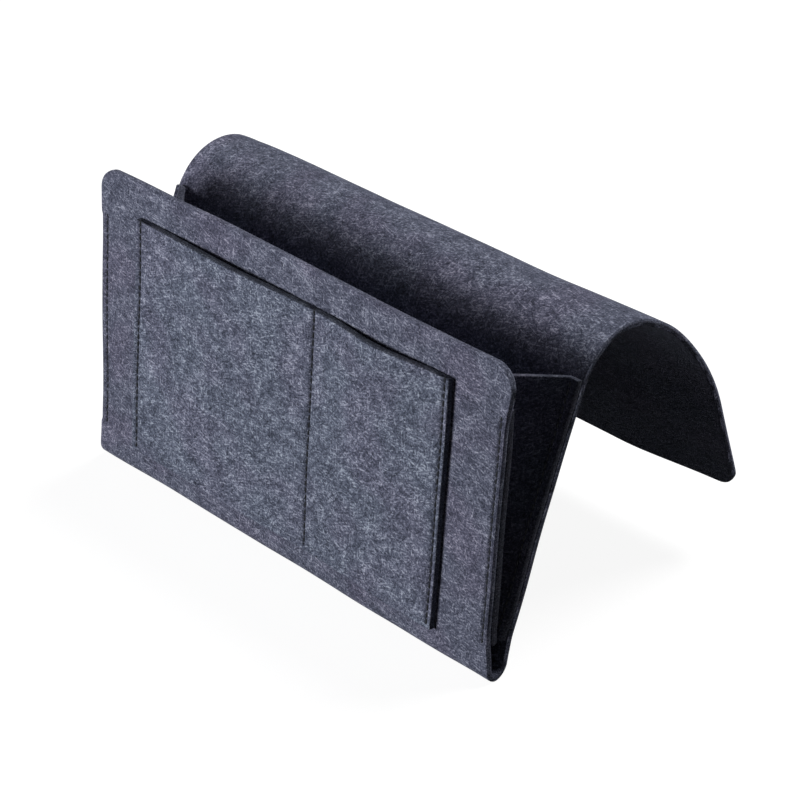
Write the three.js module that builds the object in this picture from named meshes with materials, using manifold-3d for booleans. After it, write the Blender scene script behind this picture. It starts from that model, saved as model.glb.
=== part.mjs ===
// Felt bedside caddy: a sheet of thick felt folded into a pouch with an arched flap behind it,
// a patch pocket sewn on the front and a bellows gusset at each end.
// Millimetres, +Z up, +Y towards the bed. The origin is the top of the arch's hollow, at mid width.

import * as THREE from 'three';
import { mergeVertices } from 'three/addons/utils/BufferGeometryUtils.js';
import Module from 'manifold-3d';

const wasm = await Module();
wasm.setup();

// Felt sheet: radii are those of the hollow sides, and the arch's drop is from the front's top edge
const FELT = 4;
const WIDTH = 320;
const FRONT_HEIGHT = 196;
const FOLD_RISE = 8;
const LEAN_RADIUS = 50;
const LEAN = THREE.MathUtils.degToRad(16.5);
const ARCH_DROP = 5.7;
const ARCH_RADIUS = 34.5;
const ARCH_TURN = THREE.MathUtils.degToRad(100.5);
const FLAP_RADIUS = 158;
const FLAP_TURN = THREE.MathUtils.degToRad(40.5);
const FLAP_LENGTH = 68;
const FRONT_CORNER_RADIUS = 13;
const FLAP_CORNER_RADIUS = 12;

// Patch pocket: its rise is from the fold's lowest line, and its drop from the front's top edge
const POCKET_MARGIN = 37;
const POCKET_RISE = 21;
const POCKET_DROP = 21;
const POCKET_BOW = 1.5;
const DIVIDER_OFFSET = 20.5;

// Gussets: rise and drop as for the pocket, and depths are how far the crease reaches inwards
const GUSSET_RISE = 23.5;
const GUSSET_DROP = 27;
const GUSSET_FLANGE = 7;
const CREASE_DEPTH_TOP = 25;
const CREASE_DEPTH_BOTTOM = 7;

// Seams
const THREAD_RADIUS = 0.4;
const THREAD_SINK = 0.25;
const THREAD_SIDES = 6;
const GUSSET_SEAM_INSET = 5;
const POCKET_SEAM_INSET = 3.5;
const SEAM_END_INSET = 3;
const DIVIDER_END_GAP = 3;

// Clearances and the angles that the two bends leave room for
const REST_GAP = 0.3;
const THREAD_GAP = 0.3;
const FLANGE_GAP = 1.4;
const POUCH_OPENING = THREE.MathUtils.degToRad(8);
const FLAP_CLOSING = THREE.MathUtils.degToRad(40);
const BEND_MARGIN = THREE.MathUtils.degToRad(2);

// Facets
const FOLD_STEP = THREE.MathUtils.degToRad(15);
const ARCH_STEP = THREE.MathUtils.degToRad(9.2);
const FLAP_STEP = THREE.MathUtils.degToRad(6.4);
const CORNER_STEPS = 5;
const POCKET_COLUMNS = 8;
const POCKET_ROWS = 5;
const LEVEL_MARGIN = 0.5;

// Finishes
const FELT_COLOUR = 0x3a3e45;
const FELT_ROUGHNESS = 0.95;
const THREAD_COLOUR = 0x24272c;
const THREAD_ROUGHNESS = 0.7;

const QUARTER_TURN = Math.PI / 2;
const CUT_MARGIN = FELT;

// Middle line of the sheet

// A station is a point of the middle line, in the Y-Z plane, with its heading from +Y towards +Z.
function straight(from, length) {
  return [{
    y: from.y + length * Math.cos(from.heading),
    z: from.z + length * Math.sin(from.heading),
    heading: from.heading,
  }];
}

// Positive turns bend to the left of the heading, towards the inside of the pouch.
function bend(from, radius, turn, step) {
  const side = Math.sign(turn);
  const count = Math.ceil(Math.abs(turn) / step);
  const centreY = from.y - side * radius * Math.sin(from.heading);
  const centreZ = from.z + side * radius * Math.cos(from.heading);
  return Array.from({ length: count }, (_, i) => {
    const heading = from.heading + turn * (i + 1) / count;
    return {
      y: centreY + side * radius * Math.sin(heading),
      z: centreZ - side * radius * Math.cos(heading),
      heading,
    };
  });
}

function trace(start, moves) {
  const stations = [start];
  for (const move of moves) {
    stations.push(...move(stations.at(-1)));
  }
  return stations;
}

// The fold leaves room between the panels for the two sewn edges of a gusset.
const foldRadius = FELT + REST_GAP + FLANGE_GAP / 2;
const foldMiddle = foldRadius + FELT / 2;
const leanMiddle = LEAN_RADIUS + FELT / 2;
const archMiddle = ARCH_RADIUS + FELT / 2;
const flapMiddle = FLAP_RADIUS + FELT / 2;
const archRise = QUARTER_TURN - LEAN;

// The back panel's straight stretch runs from its lean to the foot of the arch.
const leanEndZ = foldMiddle + FOLD_RISE + leanMiddle * Math.sin(LEAN);
const archCentreZ = FRONT_HEIGHT - ARCH_DROP - FELT / 2 - archMiddle;
const archFootZ = archCentreZ - FELT / 2 + archMiddle * Math.sin(LEAN);
const backLength = (archFootZ - leanEndZ) / Math.cos(LEAN);

// The fold's lowest line, on the middle line of the sheet, is where the front and the back part.
const foldLine = { y: 0, z: 0, heading: 0 };
const frontTop = FRONT_HEIGHT - FELT / 2 - foldMiddle;
const backStations = trace(foldLine, [
  (from) => bend(from, foldMiddle, QUARTER_TURN, FOLD_STEP),
  (from) => straight(from, FOLD_RISE),
  (from) => bend(from, leanMiddle, -LEAN, FLAP_STEP),
  (from) => straight(from, backLength),
  (from) => bend(from, archMiddle, -archRise, ARCH_STEP),
]);
const flapStations = trace(backStations.at(-1), [
  (from) => bend(from, archMiddle, archRise - ARCH_TURN, ARCH_STEP),
  (from) => bend(from, flapMiddle, -FLAP_TURN, FLAP_STEP),
  (from) => straight(from, FLAP_LENGTH),
]);
const frontStations = trace({ y: -foldMiddle, z: foldMiddle + frontTop, heading: -QUARTER_TURN }, [
  (from) => straight(from, frontTop),
  (from) => bend(from, foldMiddle, QUARTER_TURN, FOLD_STEP),
]);

// Everything is shifted so that the hollow side of the arch's top is the origin.
const archTop = backStations.at(-1);
const origin = { y: archTop.y, z: archTop.z - FELT / 2 };
for (const station of new Set([...frontStations, ...backStations, ...flapStations])) {
  station.y -= origin.y;
  station.z -= origin.z;
}

// A point beside a station: positive offsets lie on the pouch's inside and on top of the arch.
function beside(station, offset) {
  return new THREE.Vector2(
    station.y - offset * Math.sin(station.heading),
    station.z + offset * Math.cos(station.heading),
  );
}

const floorZ = backStations[0].z - FELT / 2;
const frontFaceY = frontStations[0].y - FELT / 2;
const frontInsideY = frontStations[0].y + FELT / 2;
const frontTopZ = floorZ + FRONT_HEIGHT;

// Solids

function solidFrom(geometry) {
  const bare = geometry.clone();
  bare.deleteAttribute('normal');
  bare.deleteAttribute('uv');
  const merged = mergeVertices(bare);
  return new wasm.Manifold(new wasm.Mesh({
    numProp: 3,
    vertProperties: new Float32Array(merged.attributes.position.array),
    triVerts: new Uint32Array(merged.index.array),
  }));
}

function geometryFrom(solid) {
  const mesh = solid.getMesh();
  const geometry = new THREE.BufferGeometry();
  geometry.setAttribute('position', new THREE.BufferAttribute(mesh.vertProperties, 3));
  geometry.setIndex(new THREE.BufferAttribute(mesh.triVerts, 1));
  geometry.computeVertexNormals();
  return geometry;
}

// A closed skin over rings of points: each ring lies ahead of the last and runs anticlockwise,
// seen from ahead.
function loft(rings, capOutline) {
  const size = rings[0].length;
  const positions = rings.flat().flatMap((point) => point.toArray());
  const index = [];
  for (let ring = 0; ring + 1 < rings.length; ring += 1) {
    for (let i = 0; i < size; i += 1) {
      const a = ring * size + i;
      const b = ring * size + (i + 1) % size;
      index.push(a, b, b + size, a, b + size, a + size);
    }
  }
  const last = (rings.length - 1) * size;
  for (const [a, b, c] of THREE.ShapeUtils.triangulateShape(capOutline, [])) {
    index.push(c, b, a, last + a, last + b, last + c);
  }
  const geometry = new THREE.BufferGeometry();
  geometry.setAttribute('position', new THREE.Float32BufferAttribute(positions, 3));
  geometry.setIndex(index);
  return geometry;
}

// A stretch of the sheet across the whole width. At a bend line the end is set back by half the
// gap and slopes away on the outer face, so that the bend can close by the given angle.
function feltStretch(stations, startSlope, endSlope) {
  const inner = stations.map((station) => beside(station, FELT / 2));
  const outer = stations.map((station) => beside(station, -FELT / 2));
  const trim = (points, i, station, distance) => {
    points[i].x += distance * Math.cos(station.heading);
    points[i].y += distance * Math.sin(station.heading);
  };
  if (startSlope !== null) {
    trim(inner, 0, stations[0], REST_GAP / 2);
    trim(outer, 0, stations[0], REST_GAP / 2 + FELT * Math.tan(startSlope));
  }
  if (endSlope !== null) {
    const last = stations.length - 1;
    trim(inner, last, stations[last], -REST_GAP / 2);
    trim(outer, last, stations[last], -REST_GAP / 2 - FELT * Math.tan(endSlope));
  }
  const outline = new THREE.Shape([...outer, ...inner.reverse()]);
  const geometry = new THREE.ExtrudeGeometry(outline, { depth: WIDTH, bevelEnabled: false });
  geometry.translate(0, 0, -WIDTH / 2);
  geometry.applyMatrix4(new THREE.Matrix4().makeBasis(
    new THREE.Vector3(0, 1, 0),
    new THREE.Vector3(0, 0, 1),
    new THREE.Vector3(1, 0, 0),
  ));
  return solidFrom(geometry);
}

// Rounds the two corners at an end of the sheet. The heading points off the end.
function roundCorners(solid, end, heading, radius) {
  const edge = WIDTH / 2;
  const waste = new THREE.Shape();
  waste.moveTo(edge - radius, 0);
  waste.absarc(edge - radius, -radius, radius, QUARTER_TURN, 0, true);
  waste.lineTo(edge + CUT_MARGIN, -radius);
  waste.lineTo(edge + CUT_MARGIN, CUT_MARGIN);
  waste.lineTo(edge - radius, CUT_MARGIN);
  const right = new THREE.ExtrudeGeometry(waste, {
    depth: 2 * FELT,
    bevelEnabled: false,
    curveSegments: CORNER_STEPS,
  });
  right.translate(0, 0, -FELT);
  const left = right.clone().rotateY(Math.PI);
  const place = new THREE.Matrix4().makeBasis(
    new THREE.Vector3(1, 0, 0),
    new THREE.Vector3(0, Math.cos(heading), Math.sin(heading)),
    new THREE.Vector3(0, -Math.sin(heading), Math.cos(heading)),
  ).setPosition(0, end.y, end.z);
  return [right, left].reduce(
    (rounded, corner) => rounded.subtract(solidFrom(corner.applyMatrix4(place))),
    solid,
  );
}

// Corners of a thread's section, on a circle of radius 1.
const threadSection = Array.from({ length: THREAD_SIDES }, (_, side) => {
  const angle = 2 * Math.PI * (side + 0.5) / THREAD_SIDES;
  return new THREE.Vector2(Math.cos(angle), Math.sin(angle));
});

// A round run along a route on a surface with the given normal, mitred where the route turns.
function run(route, normal, radius, lengthen) {
  const rings = route.map((point, i) => {
    const before = route[i - 1] ?? point;
    const after = route[i + 1] ?? point;
    const into = point.clone().sub(before).normalize();
    const outOf = after.clone().sub(point).normalize();
    const ahead = into.clone().add(outOf).normalize();
    const across = new THREE.Vector3().crossVectors(normal, ahead).normalize();
    const up = new THREE.Vector3().crossVectors(ahead, across);
    const first = i === 0;
    const last = i === route.length - 1;
    const mitre = first || last ? 1 : 1 / ahead.dot(into);
    const shift = lengthen * (Number(last) - Number(first));
    return threadSection.map((corner) => point.clone()
      .addScaledVector(ahead, shift)
      .addScaledVector(across, radius * mitre * corner.x)
      .addScaledVector(up, radius * corner.y));
  });
  return loft(rings, threadSection);
}

// Felt pieces

function frontPanel() {
  const panel = feltStretch(frontStations, null, POUCH_OPENING + BEND_MARGIN);
  return roundCorners(panel, frontStations[0], QUARTER_TURN, FRONT_CORNER_RADIUS);
}

function backPanel() {
  return feltStretch(backStations, 0, 0);
}

function mattressFlap() {
  const flap = feltStretch(flapStations, FLAP_CLOSING + BEND_MARGIN, null);
  const end = flapStations.at(-1);
  return roundCorners(flap, end, end.heading, FLAP_CORNER_RADIUS);
}

const pocketWidth = WIDTH - 2 * POCKET_MARGIN;
const pocketBottomZ = floorZ + POCKET_RISE;
const pocketTopZ = frontTopZ - POCKET_DROP;

// The pocket lies flat along its seams and gapes a little at its mouth, between them.
function pocketPanel() {
  const left = -pocketWidth / 2;
  const right = pocketWidth / 2;
  const backY = frontFaceY - REST_GAP;
  const halves = [[left, DIVIDER_OFFSET], [DIVIDER_OFFSET, right]];
  const columns = halves.flatMap(([from, to], half) => (
    Array.from({ length: POCKET_COLUMNS + 1 }, (_, i) => {
      const share = i / POCKET_COLUMNS;
      return { x: from + (to - from) * share, bow: Math.sin(Math.PI * share) ** 2 };
    }).slice(half)
  ));
  const rings = Array.from({ length: POCKET_ROWS + 1 }, (_, row) => {
    const share = row / POCKET_ROWS;
    const z = THREE.MathUtils.lerp(pocketBottomZ, pocketTopZ, share);
    const at = (column, depth) => (
      new THREE.Vector3(column.x, backY - depth - POCKET_BOW * column.bow * share ** 2, z)
    );
    const front = columns.map((column) => at(column, FELT));
    const back = columns.map((column) => at(column, 0)).reverse();
    return [...front, ...back];
  });
  const cap = rings.at(-1).map((point) => new THREE.Vector2(point.x, point.y));
  return solidFrom(loft(rings, cap));
}

// Y of one face of the back panel at a height between the fold and the arch.
const backInside = backStations.map((station) => beside(station, FELT / 2));
const backOutside = backStations.map((station) => beside(station, -FELT / 2));

function faceY(face, z) {
  const above = face.findIndex((point, i) => i > 0 && point.y >= z);
  const low = face[above - 1];
  const high = face[above];
  return low.x + (high.x - low.x) * (z - low.y) / (high.y - low.y);
}

// Heights at which the back panel's inner face bends, between a low and a high end.
function levelsBetween(low, high) {
  const bends = backInside.map((point) => point.y);
  return [low, ...bends.filter((z) => z > low + LEVEL_MARGIN && z < high - LEVEL_MARGIN), high];
}

const gussetBottomZ = floorZ + GUSSET_RISE;
const gussetTopZ = frontTopZ - GUSSET_DROP;
const gussetLevels = levelsBetween(gussetBottomZ, gussetTopZ);

// Faces of the gusset's two flanges at a height.
function flangeFaces(z) {
  const frontSeat = frontInsideY + REST_GAP;
  const backSeat = faceY(backInside, z) - REST_GAP;
  return { frontSeat, frontFace: frontSeat + FELT, backFace: backSeat - FELT, backSeat };
}

// Section of the right gusset: flange on the front panel, a fold inwards to the crease and out
// again, flange on the back panel.
function gussetSection(z) {
  const { frontSeat, frontFace, backFace, backSeat } = flangeFaces(z);
  const share = (z - gussetBottomZ) / (gussetTopZ - gussetBottomZ);
  const depth = THREE.MathUtils.lerp(CREASE_DEPTH_BOTTOM, CREASE_DEPTH_TOP, share);
  const edge = WIDTH / 2;
  const root = edge - GUSSET_FLANGE;
  const middle = (frontFace + backFace) / 2;
  const half = middle - frontFace;
  const leaf = Math.hypot(depth, half);
  const innerRoot = root - FELT * (leaf - depth) / half;
  const creaseInside = root - depth - FELT;
  const creaseHalf = half + FELT * depth / leaf - (depth + FELT - half * FELT / leaf) * half / depth;
  return [
    [edge, frontSeat],
    [edge, frontFace],
    [root, frontFace],
    [root - depth, middle],
    [root, backFace],
    [edge, backFace],
    [edge, backSeat],
    [innerRoot, backSeat],
    [creaseInside, middle + creaseHalf],
    [creaseInside, middle - creaseHalf],
    [innerRoot, frontSeat],
  ];
}

function gusset(side) {
  const rings = gussetLevels.map((z) => {
    const ring = gussetSection(z).map(([x, y]) => new THREE.Vector3(side * x, y, z));
    return side > 0 ? ring : ring.reverse();
  });
  const cap = rings.at(-1).map((point) => new THREE.Vector2(point.x, point.y));
  return solidFrom(loft(rings, cap));
}

// Seam routes, just under the surface that they lie on

const pocketFaceY = frontFaceY - REST_GAP - FELT;
const pocketSeamX = pocketWidth / 2 - POCKET_SEAM_INSET;
const pocketSeamLow = pocketBottomZ + POCKET_SEAM_INSET;
const pocketSeamHigh = pocketTopZ - SEAM_END_INSET;
const gussetSeamLevels = levelsBetween(gussetBottomZ + SEAM_END_INSET, gussetTopZ - SEAM_END_INSET);

function pocketEdgeRoute(y) {
  return [
    new THREE.Vector3(-pocketSeamX, y, pocketSeamHigh),
    new THREE.Vector3(-pocketSeamX, y, pocketSeamLow),
    new THREE.Vector3(pocketSeamX, y, pocketSeamLow),
    new THREE.Vector3(pocketSeamX, y, pocketSeamHigh),
  ];
}

function dividerRoute(y) {
  return [
    new THREE.Vector3(DIVIDER_OFFSET, y, pocketSeamHigh),
    new THREE.Vector3(DIVIDER_OFFSET, y, pocketSeamLow + DIVIDER_END_GAP),
  ];
}

function gussetRoute(side, yAt) {
  const x = side * (WIDTH / 2 - GUSSET_SEAM_INSET);
  return gussetSeamLevels.map((z) => new THREE.Vector3(x, yAt(z), z));
}

const TOWARDS_FRONT = new THREE.Vector3(0, -1, 0);
const TOWARDS_BACK = new THREE.Vector3(0, 1, 0);
const SIDES = { left: -1, right: 1 };

const felts = {
  front_panel: frontPanel(),
  back_panel: backPanel(),
  mattress_flap: mattressFlap(),
  pocket_panel: pocketPanel(),
  left_gusset: gusset(SIDES.left),
  right_gusset: gusset(SIDES.right),
};
const threads = {};

// Lays a thread in a groove of its own in the face of a felt piece.
function sew(name, felt, route, normal) {
  const groove = run(route, normal, THREAD_RADIUS + THREAD_GAP, THREAD_GAP);
  felts[felt] = felts[felt].subtract(solidFrom(groove));
  threads[name] = run(route, normal, THREAD_RADIUS, 0);
}

// Each seam has a needle thread on the outside and a bobbin thread on the inside.
const pocketNeedleY = pocketFaceY + THREAD_SINK;
const pocketBobbinY = frontInsideY - THREAD_SINK;
sew('pocket_edge_needle_thread', 'pocket_panel', pocketEdgeRoute(pocketNeedleY), TOWARDS_FRONT);
sew('pocket_edge_bobbin_thread', 'front_panel', pocketEdgeRoute(pocketBobbinY), TOWARDS_BACK);
sew('divider_needle_thread', 'pocket_panel', dividerRoute(pocketNeedleY), TOWARDS_FRONT);
sew('divider_bobbin_thread', 'front_panel', dividerRoute(pocketBobbinY), TOWARDS_BACK);
for (const [end, side] of Object.entries(SIDES)) {
  const frontNeedle = gussetRoute(side, () => frontFaceY + THREAD_SINK);
  const frontBobbin = gussetRoute(side, (z) => flangeFaces(z).frontFace - THREAD_SINK);
  const backNeedle = gussetRoute(side, (z) => faceY(backOutside, z) - THREAD_SINK);
  const backBobbin = gussetRoute(side, (z) => flangeFaces(z).backFace + THREAD_SINK);
  sew(`${end}_front_needle_thread`, 'front_panel', frontNeedle, TOWARDS_FRONT);
  sew(`${end}_front_bobbin_thread`, `${end}_gusset`, frontBobbin, TOWARDS_BACK);
  sew(`${end}_back_needle_thread`, 'back_panel', backNeedle, TOWARDS_BACK);
  sew(`${end}_back_bobbin_thread`, `${end}_gusset`, backBobbin, TOWARDS_FRONT);
}

// Assembly

function piece(name, geometry, color, roughness) {
  const material = new THREE.MeshStandardMaterial({ color, roughness, metalness: 0 });
  const mesh = new THREE.Mesh(geometry, material);
  mesh.name = name;
  return mesh;
}

const caddy = new THREE.Group();
for (const [name, solid] of Object.entries(felts)) {
  caddy.add(piece(name, geometryFrom(solid), FELT_COLOUR, FELT_ROUGHNESS));
}
for (const [name, geometry] of Object.entries(threads)) {
  caddy.add(piece(name, geometry, THREAD_COLOUR, THREAD_ROUGHNESS));
}

export default caddy;
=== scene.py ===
# %% [markdown]
# # Felt bedside caddy
# The caddy is cut from thick felt and sewn. One long sheet folds up into a pouch and arches over a bed
# rail, a patch pocket is sewn on the pouch's front, and a gusset folded like bellows closes each end.
# The imported model gives every piece its place, so the frame is loaded first.

# %% The frame
import math

import bpy
import numpy as np
from mathutils import Matrix, Vector, noise


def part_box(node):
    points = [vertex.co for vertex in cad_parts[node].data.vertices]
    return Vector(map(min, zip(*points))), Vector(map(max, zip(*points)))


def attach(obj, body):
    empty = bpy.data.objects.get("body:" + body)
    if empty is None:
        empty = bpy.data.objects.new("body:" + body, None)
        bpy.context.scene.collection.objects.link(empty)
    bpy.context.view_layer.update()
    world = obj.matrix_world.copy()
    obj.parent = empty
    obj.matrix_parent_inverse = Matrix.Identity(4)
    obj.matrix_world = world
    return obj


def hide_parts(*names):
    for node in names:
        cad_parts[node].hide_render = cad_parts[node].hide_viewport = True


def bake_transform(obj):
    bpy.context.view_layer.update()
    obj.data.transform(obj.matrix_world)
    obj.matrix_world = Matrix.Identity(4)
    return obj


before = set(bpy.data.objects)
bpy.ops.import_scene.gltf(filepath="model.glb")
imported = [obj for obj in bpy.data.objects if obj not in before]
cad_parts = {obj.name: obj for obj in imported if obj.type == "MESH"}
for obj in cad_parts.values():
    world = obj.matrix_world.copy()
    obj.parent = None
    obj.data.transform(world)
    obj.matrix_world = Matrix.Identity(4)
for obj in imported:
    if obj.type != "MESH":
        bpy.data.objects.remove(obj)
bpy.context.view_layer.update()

# %% [markdown]
# ## Camera
# The photograph was taken from the right and from above, with a long lens, so that parallel edges hardly
# draw together. Three angles turn the camera: round the caddy, up, and a slight roll about its own axis.
# Setting its matrix from three axes keeps those angles readable, which aiming it at a target would not.

# %% Camera
CAMERA_PLACE = Vector((0.85177, -0.92594, 0.58257))
CAMERA_AZIMUTH = math.radians(42.62)
CAMERA_ELEVATION = math.radians(28.86)
CAMERA_ROLL = math.radians(3.79)
LENS_MM = 110.25
SENSOR_MM = 36

level = Vector((math.cos(CAMERA_AZIMUTH), math.sin(CAMERA_AZIMUTH), 0))
towards = Vector((
    math.sin(CAMERA_AZIMUTH) * math.cos(CAMERA_ELEVATION),
    -math.cos(CAMERA_AZIMUTH) * math.cos(CAMERA_ELEVATION),
    math.sin(CAMERA_ELEVATION),
))
upright = towards.cross(level)
camera_right = level * math.cos(CAMERA_ROLL) + upright * math.sin(CAMERA_ROLL)
camera_up = upright * math.cos(CAMERA_ROLL) - level * math.sin(CAMERA_ROLL)

camera = bpy.data.objects.new("camera", bpy.data.cameras.new("camera"))
camera.data.lens = LENS_MM
camera.data.sensor_width = SENSOR_MM
camera.matrix_world = (
    Matrix.Translation(CAMERA_PLACE) @ Matrix((camera_right, camera_up, towards)).transposed().to_4x4()
)
bpy.context.scene.collection.objects.link(camera)
bpy.context.scene.camera = camera
bpy.context.scene.view_settings.view_transform = "Standard"
print("camera at", [round(value, 3) for value in CAMERA_PLACE])

# %% [markdown]
# ## Node bench
# Finishes and repeated pieces are both made of nodes. Writing every node by hand is long, so a bench adds
# one node at a time: its kind, its settings, then its sockets. A wire stands for an output socket, and
# sums written with wires add the Math nodes by themselves.


# %% Node bench
class Wire:
    """An output socket, with arithmetic that adds Math nodes."""

    def __init__(self, bench, socket):
        self.bench = bench
        self.socket = socket

    def maths(self, operation, first, second):
        return self.bench.add("ShaderNodeMath", {"operation": operation}, {0: first, 1: second})

    def __add__(self, other):
        return self.maths("ADD", self, other)

    def __sub__(self, other):
        return self.maths("SUBTRACT", self, other)

    def __rsub__(self, other):
        return self.maths("SUBTRACT", other, self)

    def __mul__(self, other):
        return self.maths("MULTIPLY", self, other)

    __radd__ = __add__
    __rmul__ = __mul__

    def larger(self, other):
        return self.maths("MAXIMUM", self, other)


class Bench:
    """A node tree that is filled node by node."""

    def __init__(self, tree):
        self.tree = tree
        tree.nodes.clear()

    def add(self, kind, settings=None, sockets=None, out=0):
        """Makes one node and returns one of its outputs."""
        node = self.tree.nodes.new(kind)
        for name, value in (settings or {}).items():
            if name == "stops":
                self.set_stops(node.color_ramp.elements, value)
            else:
                setattr(node, name, value)
        for key, value in (sockets or {}).items():
            self.plug(self.find(node.inputs, key), value)
        return Wire(self, self.find(node.outputs, out)) if node.outputs else None

    def plug(self, socket, value):
        if isinstance(value, Wire):
            self.tree.links.new(value.socket, socket)
        else:
            socket.default_value = value

    @staticmethod
    def find(sockets, key):
        if isinstance(key, int):
            return sockets[key]
        return next(s for s in sockets if key in (s.identifier, s.name))

    @staticmethod
    def set_stops(elements, stops):
        while len(elements) < len(stops):
            elements.new(1)
        for element, (position, colour) in zip(elements, stops):
            element.position = position
            element.color = (*colour, 1)

    def rise(self, value, low, high):
        """0 below low, 1 above high, smooth between."""
        return self.add("ShaderNodeMapRange", {"interpolation_type": "SMOOTHSTEP"},
                        {"Value": value, "From Min": low, "From Max": high})


print("bench ready")

# %% [markdown]
# ## Stage and light
# The caddy stands on a plain white floor. A floor that only reflects would never be quite white, so what
# the camera sees of it also glows, and its shadow stays. One large soft lamp stands in front, to the left
# and hardly higher than the caddy, so faces that look up get little of it. A second one, behind and above,
# draws a bright rim along the arch. The world adds little, because the hollows of dark felt go nearly black.

# %% Stage and light
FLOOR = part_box("front_panel")[0].z
FLOOR_SIZE = 8.0
CENTRE = Vector((0, 0, -0.09))
KEY_FROM = Vector((-0.32, -0.92, 0.09))
BACK_FROM = Vector((0.06, 0.47, 0.88))
LAMP_DISTANCE = 2.4
KEY_SIZE = 1.0
KEY_WATTS = 60
BACK_SIZE = 1.4
BACK_WATTS = 48
SKY_TINT = (0.90, 0.95, 1, 1)
SKY_STRENGTH = 0.012
FLOOR_BOUNCE = 0.03
FLOOR_MATT = 0.25
FLOOR_GLOW = 0.92


def seen_directly(bench):
    """1 for what the camera sees, straight or in a reflection."""
    path = [bench.add("ShaderNodeLightPath", out=f"Is {kind} Ray")
            for kind in ("Camera", "Glossy", "Transmission")]
    return path[0].larger(path[1]).larger(path[2])


def floor_finish():
    material = bpy.data.materials.new("white_floor")
    material.use_nodes = True
    bench = Bench(material.node_tree)
    bounce = bench.add("ShaderNodeBsdfDiffuse", sockets={"Color": (FLOOR_BOUNCE,) * 3 + (1,)})
    matt = bench.add("ShaderNodeBsdfDiffuse", sockets={"Color": (FLOOR_MATT,) * 3 + (1,)})
    glow = bench.add("ShaderNodeEmission", sockets={"Color": (1, 1, 1, 1), "Strength": FLOOR_GLOW})
    white = bench.add("ShaderNodeAddShader", sockets={0: matt, 1: glow})
    both = bench.add("ShaderNodeMixShader", sockets={0: seen_directly(bench), 1: bounce, 2: white})
    bench.add("ShaderNodeOutputMaterial", sockets={"Surface": both})
    return material


def soft_lamp(name, direction, size, watts):
    lamp = bpy.data.lights.new(name, "AREA")
    lamp.shape = "DISK"
    lamp.size = size
    lamp.energy = watts
    holder = bpy.data.objects.new(name, lamp)
    holder.location = CENTRE + direction.normalized() * LAMP_DISTANCE
    holder.rotation_euler = direction.to_track_quat("Z", "Y").to_euler()
    bpy.context.scene.collection.objects.link(holder)


floor_mesh = bpy.data.meshes.new("floor")
floor_mesh.from_pydata(
    [(x * FLOOR_SIZE / 2, y * FLOOR_SIZE / 2, FLOOR) for x, y in ((-1, -1), (1, -1), (1, 1), (-1, 1))],
    [], [(0, 1, 2, 3)])
floor_mesh.materials.append(floor_finish())
floor = bpy.data.objects.new("floor", floor_mesh)
bpy.context.scene.collection.objects.link(floor)

soft_lamp("key_lamp", KEY_FROM, KEY_SIZE, KEY_WATTS)
soft_lamp("back_lamp", BACK_FROM, BACK_SIZE, BACK_WATTS)

world = bpy.data.worlds.new("studio")
bpy.context.scene.world = world
world.use_nodes = True
sky = Bench(world.node_tree)
dim = sky.add("ShaderNodeBackground", sockets={"Color": SKY_TINT, "Strength": SKY_STRENGTH})
clear = sky.add("ShaderNodeBackground", sockets={"Color": (1, 1, 1, 1), "Strength": 1})
shown = sky.add("ShaderNodeMixShader", sockets={0: seen_directly(sky), 1: dim, 2: clear})
sky.add("ShaderNodeOutputWorld", sockets={"Surface": shown})
print("floor at", round(FLOOR, 4))

# %% [markdown]
# ## Felt finish
# The felt is a melange: dark, grey and pale fibres needled together, so a step away it is blue-grey with
# specks, and close up short streaks lie in every direction. A picture of felt would repeat, so the streaks
# are noise that is stretched along several directions. The pattern reads each point's place on the flat,
# uncut felt, kept as an attribute, and so it stays on the cloth when the cloth bends.

# %% Felt finish
FLAT_PLACE = "flat_place"
CUT_EDGE = "cut_edge"
SEAM_PULL = "seam_pull"
GRAIN = 0.0012
CLOUD = 0.009
STREAK_LENGTH = 0.0060
STREAK_WIDTH = 0.0009
STREAK_DEPTH = 0.0006
STREAK_TURNS = (-0.30, 0.12, 0.45, 1.70)
STRAND_EDGE = (0.56, 0.74)
WARM_PATCH = 0.045
WARM_EDGE = (0.42, 0.62)
WARM_TINT = (1.04, 0.97, 1.0, 1)
# Seam grooves darken: partly the pressed felt's own colour, partly painted shade in the groove.
SEAM_PRESS_AND_SHADE = (0.50, 0.50, 0.54, 1)
FUZZ = 0.0004
MIDDLE_SHADE = 0.46
GRAIN_WEIGHT = 1.4
CLOUD_WEIGHT = 0.6
PALE_WEIGHT = 0.32
DARK_WEIGHT = 0.26
NAP_GRAIN = 0.6
NAP_STREAK = 0.25
NAP_FUZZ = 0.3


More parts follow.
